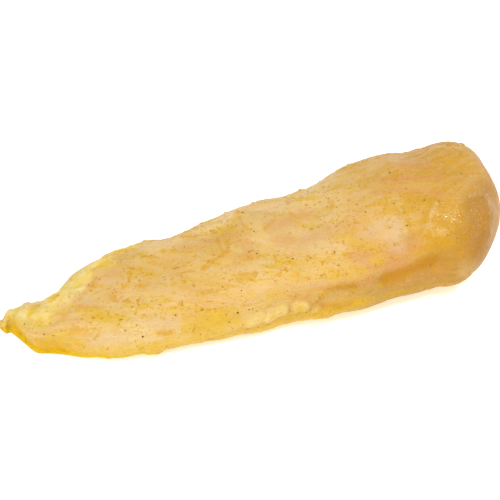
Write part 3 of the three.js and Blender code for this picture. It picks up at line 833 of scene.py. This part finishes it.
def make_meat():
    """The whole fillet as one fine closed skin, with its tints as numbers at its vertices."""
    places = place_rings()
    angles = place_angles()
    at, angle = np.meshgrid(places, angles, indexing="ij")
    base = form_point(at, angle)
    masks = tint_masks(base)
    stain_the_back(at, angle, base, masks)
    points = surface_point(at, angle, masks, base)
    poles = [(side * LENGTH / 2, end["y"] + ASIDE, end["z"]) for side, end in ((-1, TIP), (1, END))]
    everything = np.concatenate((points.reshape(-1, 3), poles))
    piece = mesh_object("breast_meat", everything, closed_skin(len(places), len(angles)))
    masks.update(surface_gradients(at, angle, points, base, masks))
    for name, values in masks.items():
        write_mask(piece.data, name, np.append(values.ravel(), (values[0, 0], values[-1, 0])))
    fibres = fibre_coordinates(at, angle).reshape(-1, 3)
    write_fibre_map(piece.data, np.concatenate((fibres, fibres[[0, -1]])), len(angles))
    return piece


def paint(red, green, blue):
    """A colour given in 0 to 255 as on a screen, as the linear colour that shaders take."""
    values = []
    for channel in (red, green, blue):
        share = channel / 255
        values.append(share / 12.92 if share <= 0.04045 else ((share + 0.055) / 1.055) ** 2.4)
    return (*values, 1)


def seen(red, green, blue):
    """The surface's own colour for a colour as it looks in the studio, from 0 to 255."""
    own = [max(0.004, channel - STUDIO_SHEEN) / STUDIO_GAIN for channel in paint(red, green, blue)[:3]]
    return (*own, 1)


FLESH_PALE = seen(243, 210, 150)
FLESH_PEACH = seen(234, 187, 117)
FLESH_GOLD = seen(231, 184, 84)
# Pale lines of the fibres, partly painted sheen, and short painted wet highlights.
STREAK_AND_SHEEN_CREAM = seen(246, 218, 156)
# Deeper gold of the shoulder half, which also paints the shade there.
SHOULDER_GOLD_AND_SHADE = seen(220, 170, 89)
# Painted shade on the front wall, in ochre.
FLANK_SHADE_OCHRE = seen(189, 141, 73)
# Painted shade on the shoulder's end, in golden brown.
END_SHADE_BROWN = seen(184, 131, 62)
AMBER = seen(228, 169, 48)
DEEP_ORANGE = seen(210, 146, 22)
YELLOW_POOL = seen(234, 191, 53)
OCHRE_POOL = seen(218, 165, 50)
FOOT_GOLD = seen(243, 205, 62)
BLUSH = seen(224, 160, 106)
# Pale flesh and membrane, partly painted sheen.
PALE_FLESH_AND_SHEEN = seen(229, 192, 144)
# Painted sheen and painted glints.
PAINTED_SHEEN_WHITE = seen(247, 224, 184)
FAT_CREAM = seen(252, 233, 162)
FAT_YELLOW = seen(246, 211, 84)
SPICE_ORANGE = seen(225, 164, 48)
SPICE_STAIN = seen(217, 153, 46)
SPICE_BROWN = seen(188, 126, 44)
PEPPER_BROWN = seen(138, 98, 44)
PEPPER_BLACK = seen(104, 78, 44)
FLOOR_WHITE = paint(245, 245, 245)


def feed(tree, socket, value):
    """Links a socket to another one, or sets its plain value."""
    if isinstance(value, bpy.types.NodeSocket):
        tree.links.new(value, socket)
    else:
        socket.default_value = value


def feed_all(tree, node, values):
    """Feeds a node's inputs, by name or number."""
    for key, value in values.items():
        feed(tree, node.inputs[key], value)


def add_node(tree, kind, values=None, **settings):
    """A new node with its own settings and its inputs fed."""
    node = tree.nodes.new(kind)
    for name, value in settings.items():
        setattr(node, name, value)
    feed_all(tree, node, values or {})
    return node


def calculate(tree, operation, *values):
    """A math node's result."""
    return add_node(tree, "ShaderNodeMath", dict(enumerate(values)), operation=operation).outputs[0]


def times(tree, first, second):
    """Two values multiplied."""
    return calculate(tree, "MULTIPLY", first, second)


def times_plus(tree, first, second, more):
    """Two values multiplied, and a third one more."""
    return calculate(tree, "MULTIPLY_ADD", first, second, more)


def vector_maths(tree, operation, *values):
    """A vector math node's result."""
    node = add_node(tree, "ShaderNodeVectorMath", dict(enumerate(values)), operation=operation)
    return node.outputs[0]


def ramp(tree, value, low, high):
    """Rises smoothly from 0 at low to 1 at high."""
    values = {"Value": value, "From Min": low, "From Max": high}
    return add_node(tree, "ShaderNodeMapRange", values, interpolation_type="SMOOTHSTEP").outputs["Result"]


def blend_colour(tree, share, first, second):
    """first where share is 0 and second where it is 1."""
    values = {0: share, 6: first, 7: second}
    return add_node(tree, "ShaderNodeMix", values, data_type="RGBA", clamp_factor=True).outputs[2]


def noise_value(tree, vector, scale, detail=2.0, roughness=0.5):
    """A noise texture's value."""
    values = {"Vector": vector, "Scale": scale, "Detail": detail, "Roughness": roughness}
    return add_node(tree, "ShaderNodeTexNoise", values).outputs["Fac"]


def start_group(name, inputs, outputs):
    """A node group that takes a vector and named numbers, and puts out named numbers."""
    group = bpy.data.node_groups.new(name, "ShaderNodeTree")
    group.interface.new_socket(name="Vector", in_out="INPUT", socket_type="NodeSocketVector")
    for label, value in inputs.items():
        socket = group.interface.new_socket(name=label, in_out="INPUT", socket_type="NodeSocketFloat")
        socket.default_value = value
    for label in outputs:
        group.interface.new_socket(name=label, in_out="OUTPUT", socket_type="NodeSocketFloat")
    entry = group.nodes.new("NodeGroupInput")
    leave = group.nodes.new("NodeGroupOutput")
    return group, entry.outputs, leave.inputs


def use_group(tree, group, **values):
    """Places a node group and feeds its named inputs."""
    labelled = {name.capitalize(): value for name, value in values.items()}
    return add_node(tree, "ShaderNodeGroup", labelled, node_tree=group).outputs


def make_stain_group():
    """Marinade that has soaked in: a mask with its soft edge broken up into grains."""
    inputs = {"Mask": 0.5, "Scale": 1100.0, "Graininess": 1.5}
    group, given, out = start_group("marinade stain", inputs, ("Mask",))
    fine = noise_value(group, given["Vector"], given["Scale"], 2.0, 0.6)
    wider = noise_value(group, given["Vector"], times(group, given["Scale"], 0.3), 2.0, 0.6)
    both = times_plus(group, fine, 0.6, times(group, wider, 0.4))
    centred = calculate(group, "SUBTRACT", both, 0.5)
    level = times_plus(group, centred, given["Graininess"], given["Mask"])
    feed(group, out["Mask"], ramp(group, level, 0.06, 0.94))
    return group


def make_mottle_group():
    """Changes of tone over flesh: soft patches, with smaller ones inside them."""
    group, given, out = start_group("flesh mottle", {"Scale": 90.0}, ("Mask",))
    wide = noise_value(group, given["Vector"], given["Scale"], 4.0, 0.6)
    feed(group, out["Mask"], ramp(group, wide, 0.33, 0.67))
    return group


def make_fibre_group():
    """The grain of muscle: thin streaks that are long in the given vector's first part."""
    outputs = ("Height", "Streak", "Groove", "Dash", "Nick")
    group, given, out = start_group("muscle fibre", {"Scale": 500.0}, outputs)
    coarse_place = vector_maths(group, "MULTIPLY", given["Vector"], (0.06, 1.0, 1.0))
    fine_place = vector_maths(group, "MULTIPLY", given["Vector"], (0.16, 2.6, 1.0))
    short_place = vector_maths(group, "MULTIPLY", given["Vector"], (0.5, 3.2, 1.0))
    coarse = noise_value(group, coarse_place, given["Scale"], 3.0, 0.6)
    fine = noise_value(group, fine_place, given["Scale"])
    short = noise_value(group, short_place, given["Scale"], 1.0)
    both = times_plus(group, coarse, 0.6, times(group, fine, 0.4))
    feed(group, out["Height"], both)
    feed(group, out["Streak"], ramp(group, both, 0.48, 0.62))
    feed(group, out["Groove"], ramp(group, both, 0.5, 0.38))
    feed(group, out["Dash"], ramp(group, short, 0.56, 0.68))
    feed(group, out["Nick"], ramp(group, short, 0.44, 0.32))
    return group


def make_dust_group():
    """Spice specks: round spots of uneven size, one in each cell that has one."""
    inputs = {"Scale": 400.0, "Size": 0.3, "Share": 0.5}
    group, given, out = start_group("spice dust", inputs, ("Mask",))
    values = {"Vector": given["Vector"], "Scale": times(group, given["Scale"], 1.7)}
    shift = add_node(group, "ShaderNodeTexNoise", values).outputs["Color"]
    centred = vector_maths(group, "SUBTRACT", shift, (0.5, 0.5, 0.5))
    reach = calculate(group, "DIVIDE", 1.4, given["Scale"])
    bent = vector_maths(group, "MULTIPLY_ADD", centred, reach, given["Vector"])
    values = {"Vector": bent, "Scale": given["Scale"]}
    cells = add_node(group, "ShaderNodeTexVoronoi", values, feature="F1").outputs
    chance = add_node(group, "ShaderNodeSeparateColor", {0: cells["Color"]}).outputs
    chosen = calculate(group, "LESS_THAN", chance[0], given["Share"])
    radius = times(group, chance[1], given["Size"])
    outside = ramp(group, cells["Distance"], times(group, radius, 0.45), radius)
    feed(group, out["Mask"], times(group, calculate(group, "SUBTRACT", 1.0, outside), chosen))
    return group


def make_ripple_group():
    """The uneven skin of a wet film: small soft bumps with a finer crinkle in them."""
    group, given, out = start_group("wet ripple", {"Scale": 700.0, "Crinkle": 0.3}, ("Height",))
    soft = noise_value(group, given["Vector"], given["Scale"])
    sharp = noise_value(group, given["Vector"], times(group, given["Scale"], 1.9), 1.0)
    folded = calculate(group, "ABSOLUTE", calculate(group, "SUBTRACT", sharp, 0.5))
    crease = times(group, folded, times(group, given["Crinkle"], -1.0))
    feed(group, out["Height"], calculate(group, "ADD", crease, soft))
    return group


STAIN = make_stain_group()
MOTTLE = make_mottle_group()
FIBRE = make_fibre_group()
DUST = make_dust_group()
RIPPLE = make_ripple_group()


def start_material(name):
    """A material with its shader, its node tree and the object's own coordinates."""
    material = bpy.data.materials.new(name)
    material.use_nodes = True
    tree = material.node_tree
    place = tree.nodes.new("ShaderNodeTexCoord").outputs["Object"]
    return material, tree, tree.nodes["Principled BSDF"], place


def read_mask(tree, name):
    """A number kept at the vertices."""
    return add_node(tree, "ShaderNodeAttribute", attribute_name=name).outputs["Fac"]


def tinted(tree, colour, place, name, tint, most, graininess):
    """A colour with one of the surface's tints over it as a grainy film."""
    stain = use_group(tree, STAIN, vector=place, mask=read_mask(tree, name), graininess=graininess)
    return blend_colour(tree, times(tree, stain["Mask"], most), colour, tint)


def drawn_mottle(tree, long_place, scale, small, capped):
    """A mottle drawn out along the fibres, but round where they meet in a point."""
    along = use_group(tree, MOTTLE, vector=long_place, scale=scale)["Mask"]
    return times_plus(tree, calculate(tree, "SUBTRACT", small, along), capped, along)


def flesh_colour(tree, place, grain, marks):
    """Bare flesh with the lines of its fibres, gold between them; the shoulder's gold is partly painted
    shade, the front wall takes painted shade, and the pale lines are partly painted sheen.
    """
    broad = use_group(tree, MOTTLE, vector=place, scale=50.0)["Mask"]
    colour = blend_colour(tree, broad, FLESH_PALE, FLESH_PEACH)
    # The shoulder's deeper gold, partly painted shade.
    colour = blend_colour(tree, times(tree, marks["shoulder"], 0.8), colour, SHOULDER_GOLD_AND_SHADE)
    # Painted shade over the front wall.
    colour = blend_colour(tree, marks["flank"], colour, FLANK_SHADE_OCHRE)
    thin = times(tree, marks["lined"], 0.4)
    # Pale lines along the fibres, partly painted sheen.
    colour = blend_colour(tree, times(tree, grain["Streak"], thin), colour, STREAK_AND_SHEEN_CREAM)
    return blend_colour(tree, times(tree, grain["Groove"], thin), colour, FLESH_GOLD)


def soaked_colour(tree, place, fibre_place, colour, marks, pool):
    """The colour with gold drawn out along the fibres, and grainy marinade soaked in."""
    small = use_group(tree, MOTTLE, vector=place, scale=140.0)["Mask"]
    long_place = vector_maths(tree, "MULTIPLY", fibre_place, (0.3, 1.0, 1.0))
    gold = drawn_mottle(tree, long_place, 230.0, small, marks["capped"])
    gold = times(tree, gold, times_plus(tree, marks["golden"], 0.5, 0.2))
    colour = blend_colour(tree, gold, colour, FLESH_GOLD)
    soaked = drawn_mottle(tree, long_place, 420.0, small, marks["capped"])
    soaked = times(tree, soaked, times(tree, marks["dusting"], 1.15))
    soaked = use_group(tree, STAIN, vector=place, mask=soaked, scale=1300.0, graininess=3.0)["Mask"]
    return blend_colour(tree, times(tree, soaked, 0.75), colour, pool)


def film_colour(tree, place, colour, golden, pool):
    """The colour under the surface's tints: blush, pale flesh that is partly painted sheen, painted shade
    on the shoulder's end, painted sheen, fat with painted light at the nub, foot, pools and stains.
    """
    curdled = use_group(tree, MOTTLE, vector=place, scale=330.0)["Mask"]
    fatty = blend_colour(tree, times(tree, curdled, 0.55), FAT_YELLOW, FAT_CREAM)
    colour = tinted(tree, colour, place, "blush", BLUSH, 0.65, 0.9)
    # Pale flesh, partly painted sheen.
    colour = tinted(tree, colour, place, "pale", PALE_FLESH_AND_SHEEN, 0.65, 1.2)
    colour = blend_colour(tree, times(tree, golden, 0.2), colour, FLESH_GOLD)
    for name, tint, most, graininess in (
        # Painted shade on the shoulder's end.
        ("end", END_SHADE_BROWN, 0.75, 0.8),
        # Painted sheen.
        ("painted_sheen", PAINTED_SHEEN_WHITE, 0.6, 1.2),
        ("fat", fatty, 0.9, 1.6),
        ("cream", FAT_CREAM, 0.8, 1.6),
        ("foot", FOOT_GOLD, 0.9, 1.0),
        ("yellow", pool, 0.75, 1.6),
        ("amber", AMBER, 0.8, 2.0),
        ("deep", DEEP_ORANGE, 0.85, 1.2),
        ("furrow", AMBER, 0.6, 1.6),
    ):
        colour = tinted(tree, colour, place, name, tint, most, graininess)
    return colour


def flecked_colour(tree, place, fibre_place, colour, grain, lined, pool):
    """The colour with flecks of marinade and short lines where the fibres show: pale lines that are
    painted wet highlights, and amber ones.
    """
    fleck_place = vector_maths(tree, "MULTIPLY", fibre_place, (0.4, 1.0, 1.0))
    fleck = ramp(tree, noise_value(tree, fleck_place, 430.0, 3.0, 0.6), 0.54, 0.62)
    fleck = times(tree, fleck, times(tree, lined, 0.4))
    fleck = use_group(tree, STAIN, vector=place, mask=fleck, scale=1300.0, graininess=1.5)["Mask"]
    colour = blend_colour(tree, fleck, colour, pool)
    some = times(tree, lined, 0.3)
    # Painted wet highlights in short pale dashes.
    colour = blend_colour(tree, times(tree, grain["Dash"], some), colour, STREAK_AND_SHEEN_CREAM)
    return blend_colour(tree, times(tree, grain["Nick"], some), colour, AMBER)


def dot_mask(tree, place, dusting):
    """Painted specks of spice of three sizes, as many as the dusting says."""
    share = times(tree, dusting, 0.75)
    dots = 0.0
    for scale, size, strength in PAINTED_DOTS:
        spots = use_group(tree, DUST, vector=place, scale=scale, size=size, share=share)["Mask"]
        dots = calculate(tree, "MAXIMUM", dots, times(tree, spots, strength))
    return dots


def skin_normal(tree, place, grain, dots, marks):
    """The finest relief: wrinkles where the skin is wet, and grain and fibres where it is dry."""
    grainy = use_group(tree, RIPPLE, vector=place, scale=1500.0, crinkle=0.6)["Height"]
    wrinkles = use_group(tree, RIPPLE, vector=place, scale=480.0, crinkle=4.0)["Height"]
    dry = calculate(tree, "SUBTRACT", 1.0, marks["wrinkled"])
    combed = times(tree, dry, calculate(tree, "SUBTRACT", 1.0, marks["capped"]))
    height = times(tree, wrinkles, times_plus(tree, marks["wrinkled"], 1.4, 0.6))
    height = times_plus(tree, grainy, times(tree, dry, 3.0), height)
    height = times_plus(tree, grain["Height"], times(tree, combed, 2.4), height)
    height = times_plus(tree, grain["Dash"], times(tree, combed, 0.6), height)
    height = times_plus(tree, dots, dry, height)
    values = {"Strength": 1.0, "Distance": FINEST_RELIEF, "Height": height}
    return add_node(tree, "ShaderNodeBump", values).outputs["Normal"]


def make_meat_material():
    """Raw meat under the marinade: flesh, soaked stains, pools, fat and specks, with painted sheen and
    painted shade among its tints.
    """
    material, tree, shader, place = start_material("marinated meat")
    fibre_place = add_node(tree, "ShaderNodeUVMap", uv_map="fibres").outputs["UV"]
    grain = use_group(tree, FIBRE, vector=fibre_place, scale=700.0)
    marks = {name: read_mask(tree, name) for name in BROAD_MASKS}
    marks["flank"] = times(tree, marks["flank"], 0.75)
    marks["lined"] = times(tree, times_plus(tree, marks["shoulder"], -0.6, 1.0), marks["combed"])
    pool = blend_colour(tree, marks["shoulder"], YELLOW_POOL, OCHRE_POOL)
    dots = dot_mask(tree, place, marks["dusting"])

    colour = flesh_colour(tree, place, grain, marks)
    colour = soaked_colour(tree, place, fibre_place, colour, marks, pool)
    colour = film_colour(tree, place, colour, marks["golden"], pool)
    colour = flecked_colour(tree, place, fibre_place, colour, grain, marks["lined"], pool)
    patchy = ramp(tree, noise_value(tree, place, 120.0, 3.0, 0.6), 0.3, 0.7)
    dull = times_plus(tree, patchy, 0.12, 0.37)
    shine = times_plus(tree, marks["flank"], -0.35, 0.5)
    feed_all(tree, shader, {
        "Base Color": blend_colour(tree, dots, colour, SPICE_STAIN),
        "Roughness": times_plus(tree, marks["wrinkled"], -0.32, dull),
        "Normal": skin_normal(tree, place, grain, dots, marks),
        "Specular IOR Level": times_plus(tree, marks["foot"], -0.5, shine),
        "Subsurface Weight": 0.15,
        "Subsurface Radius": (1.0, 0.7, 0.4),
        "Subsurface Scale": 0.0025,
        "IOR": 1.38,
    })
    return material


def make_grain_material(name, colour, dark):
    """Ground spice: dull grains of uneven tone."""
    material, tree, shader, place = start_material(name)
    tone = ramp(tree, noise_value(tree, place, 900.0), 0.35, 0.65)
    feed_all(tree, shader, {"Base Color": blend_colour(tree, tone, colour, dark), "Roughness": 0.45})
    return material


def grain_tree():
    """Grains scattered over a surface and half sunk in it, as many as its dusting says."""
    tree = bpy.data.node_groups.new("scatter grains", "GeometryNodeTree")
    sockets = (
        ("Surface", "NodeSocketGeometry", None),
        ("Density", "NodeSocketFloat", 100000.0),
        ("Smallest", "NodeSocketFloat", 0.0002),
        ("Largest", "NodeSocketFloat", 0.0005),
        ("Flatness", "NodeSocketFloat", 0.6),
        ("Seed", "NodeSocketInt", 1),
        ("Finish", "NodeSocketMaterial", None),
    )
    for name, kind, value in sockets:
        socket = tree.interface.new_socket(name=name, in_out="INPUT", socket_type=kind)
        if value is not None:
            socket.default_value = value
    tree.interface.new_socket(name="Grains", in_out="OUTPUT", socket_type="NodeSocketGeometry")
    given = tree.nodes.new("NodeGroupInput").outputs
    leave = tree.nodes.new("NodeGroupOutput").inputs

    dusting = add_node(tree, "GeometryNodeInputNamedAttribute", {"Name": "dusting"}, data_type="FLOAT")
    thick = times(tree, dusting.outputs["Attribute"], given["Density"])
    values = {"Mesh": given["Surface"], "Density": thick, "Seed": given["Seed"]}
    scatter = add_node(tree, "GeometryNodeDistributePointsOnFaces", values, distribute_method="RANDOM")
    grain = add_node(tree, "GeometryNodeMeshIcoSphere", {"Radius": 0.5, "Subdivisions": 1})

    values = {2: 0.0, 3: 1.0, "Seed": given["Seed"]}
    size = add_node(tree, "FunctionNodeRandomValue", values, data_type="FLOAT")
    mostly_small = calculate(tree, "POWER", size.outputs[1], 2.5)
    spread = calculate(tree, "SUBTRACT", given["Largest"], given["Smallest"])
    diameter = times_plus(tree, spread, mostly_small, given["Smallest"])
    values = {0: GRAIN_LEAST, 1: GRAIN_MOST}
    shape = add_node(tree, "FunctionNodeRandomValue", values, data_type="FLOAT_VECTOR")
    flat = add_node(tree, "ShaderNodeCombineXYZ", {0: 1.0, 1: 1.0, 2: given["Flatness"]})
    sized = vector_maths(tree, "MULTIPLY", shape.outputs[0], flat.outputs[0])
    scaled = add_node(tree, "ShaderNodeVectorMath", {0: sized, "Scale": diameter}, operation="SCALE")

    values = {0: (0.0, 0.0, 0.0), 1: GRAIN_TURN}
    turn = add_node(tree, "FunctionNodeRandomValue", values, data_type="FLOAT_VECTOR")
    tilt = add_node(tree, "FunctionNodeEulerToRotation", {0: turn.outputs[0]})
    values = {"Rotation": scatter.outputs["Rotation"], "Rotate By": tilt.outputs[0]}
    turned = add_node(tree, "FunctionNodeRotateRotation", values, rotation_space="LOCAL")
    place = add_node(tree, "GeometryNodeInstanceOnPoints", {
        "Points": scatter.outputs["Points"],
        "Instance": grain.outputs["Mesh"],
        "Rotation": turned.outputs[0],
        "Scale": scaled.outputs[0],
    })
    real = add_node(tree, "GeometryNodeRealizeInstances", {0: place.outputs[0]})
    values = {"Geometry": real.outputs[0], "Material": given["Finish"]}
    feed(tree, leave["Grains"], add_node(tree, "GeometryNodeSetMaterial", values).outputs[0])
    return tree


def make_grains(name, surface, tree, **sizes):
    """Grains on a surface, as a plain mesh of their own."""
    piece = bpy.data.objects.new(name, surface.data.copy())
    bpy.context.scene.collection.objects.link(piece)
    modifier = piece.modifiers.new("scatter", "NODES")
    modifier.node_group = tree
    for item in tree.interface.items_tree:
        key = item.name.lower()
        if item.in_out == "INPUT" and key in sizes:
            modifier[item.identifier] = sizes[key]
    evaluated = piece.evaluated_get(bpy.context.evaluated_depsgraph_get())
    grains = bpy.data.meshes.new_from_object(evaluated)
    places = np.zeros(len(grains.vertices) * 3, np.float32)
    grains.vertices.foreach_get("co", places)
    inside = keep_inside(places.reshape(-1, 3) / MM) * MM
    grains.vertices.foreach_set("co", inside.astype(np.float32).ravel())
    grains.shade_smooth()
    piece.modifiers.remove(modifier)
    piece.data = grains
    return piece


def make_pepper():
    """The dark specks that show one by one, each an uneven little lump half sunk in the skin."""
    chance = np.random.default_rng(31)
    points = []
    faces = []
    for at, angle, width in PEPPER:
        spot = np.array([at, at + 0.001, at])
        turn = np.array([angle, angle, angle + 0.5])
        base = form_point(spot, turn)
        middle, ahead, aside = surface_point(spot, turn, tint_masks(base), base)
        along = (ahead - middle) / np.linalg.norm(ahead - middle)
        out = np.cross(along, aside - middle)
        out /= np.linalg.norm(out)
        across = np.cross(out, along)
        lump = LUMP * chance.uniform(0.7, 1.2, (len(LUMP), 1)) * (width * 0.5)
        lump = lump * (1.0, chance.uniform(0.6, 1.0), 0.5)
        start = len(points)
        points.extend(middle + lump @ np.stack((along, across, out)))
        faces.extend(tuple(start + corner for corner in face) for face in LUMP_FACES)
    return mesh_object("pepper_single", keep_inside(np.array(points)), faces)


def make_camera():
    """The camera, at the picture's viewing angle."""
    turn = math.radians(CAMERA_AZIMUTH)
    rise = math.radians(CAMERA_ELEVATION)
    back = Vector((math.sin(turn) * math.cos(rise), -math.cos(turn) * math.cos(rise), math.sin(rise)))
    data = bpy.data.cameras.new("camera")
    data.lens = CAMERA_LENS
    data.sensor_width = CAMERA_SENSOR
    data.clip_start = CAMERA_NEAR
    camera = bpy.data.objects.new("camera", data)
    camera.location = CAMERA_TARGET + back * CAMERA_DISTANCE
    camera.rotation_euler = (-back).to_track_quat("-Z", "Y").to_euler()
    bpy.context.scene.collection.objects.link(camera)
    bpy.context.scene.camera = camera


def make_soft_box(name, place, size, power):
    """A square soft light that faces the fillet."""
    data = bpy.data.lights.new(name, "AREA")
    data.shape = "SQUARE"
    data.size = size
    data.energy = power
    light = bpy.data.objects.new(name, data)
    light.location = place
    light.rotation_euler = (-Vector(place)).to_track_quat("-Z", "Y").to_euler()
    bpy.context.scene.collection.objects.link(light)


def make_floor():
    """A pale floor that glows a little, so that it stays white under the fillet."""
    material, tree, shader, _ = start_material("floor white")
    feed_all(tree, shader, {
        "Base Color": FLOOR_WHITE,
        "Roughness": 0.9,
        "Specular IOR Level": 0.0,
        "Emission Color": FLOOR_WHITE,
        "Emission Strength": FLOOR_GLOW,
    })
    mesh = bpy.data.meshes.new("floor")
    corners = [(x * FLOOR_HALF, y * FLOOR_HALF, 0) for x, y in ((-1, -1), (1, -1), (1, 1), (-1, 1))]
    mesh.from_pydata(corners, [], [(0, 1, 2, 3)])
    mesh.materials.append(material)
    floor = bpy.data.objects.new("floor", mesh)
    bpy.context.scene.collection.objects.link(floor)


def make_studio():
    """A pale floor and soft light from all round, strongest from above."""
    scene = bpy.context.scene
    scene.view_settings.view_transform = "Standard"
    scene.world = bpy.data.worlds.new("studio")
    scene.world.use_nodes = True
    tree = scene.world.node_tree
    feed_all(tree, tree.nodes["Background"], {"Color": (1, 1, 1, 1), "Strength": WORLD_LIGHT})
    for name, place, size, power in SOFT_BOXES:
        make_soft_box(name, place, size, power)
    make_floor()


make_camera()
make_studio()

meat = make_meat()
meat.data.materials.append(make_meat_material())
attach(meat, "root")
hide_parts("breast")

grains = grain_tree()
orange = make_grain_material("orange spice", SPICE_ORANGE, SPICE_BROWN)
pepper = make_grain_material("dark pepper", PEPPER_BROWN, PEPPER_BLACK)

# Each kind of grain: its name, seed, grains to the square metre, widths in metres and material.
for label, seed, density, smallest, largest, finish in (
    ("spice_fine", 3, 45000.0, 0.00025, 0.00055, orange),
    ("spice_coarse", 5, 14000.0, 0.0005, 0.0013, orange),
    ("pepper_specks", 8, 900.0, 0.0003, 0.0006, pepper),
):
    piece = make_grains(
        label, meat, grains, density=density, smallest=smallest, largest=largest,
        flatness=GRAIN_FLATNESS, seed=seed, finish=finish,
    )
    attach(piece, "root")

singles = make_pepper()
singles.data.materials.append(pepper)
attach(singles, "root")
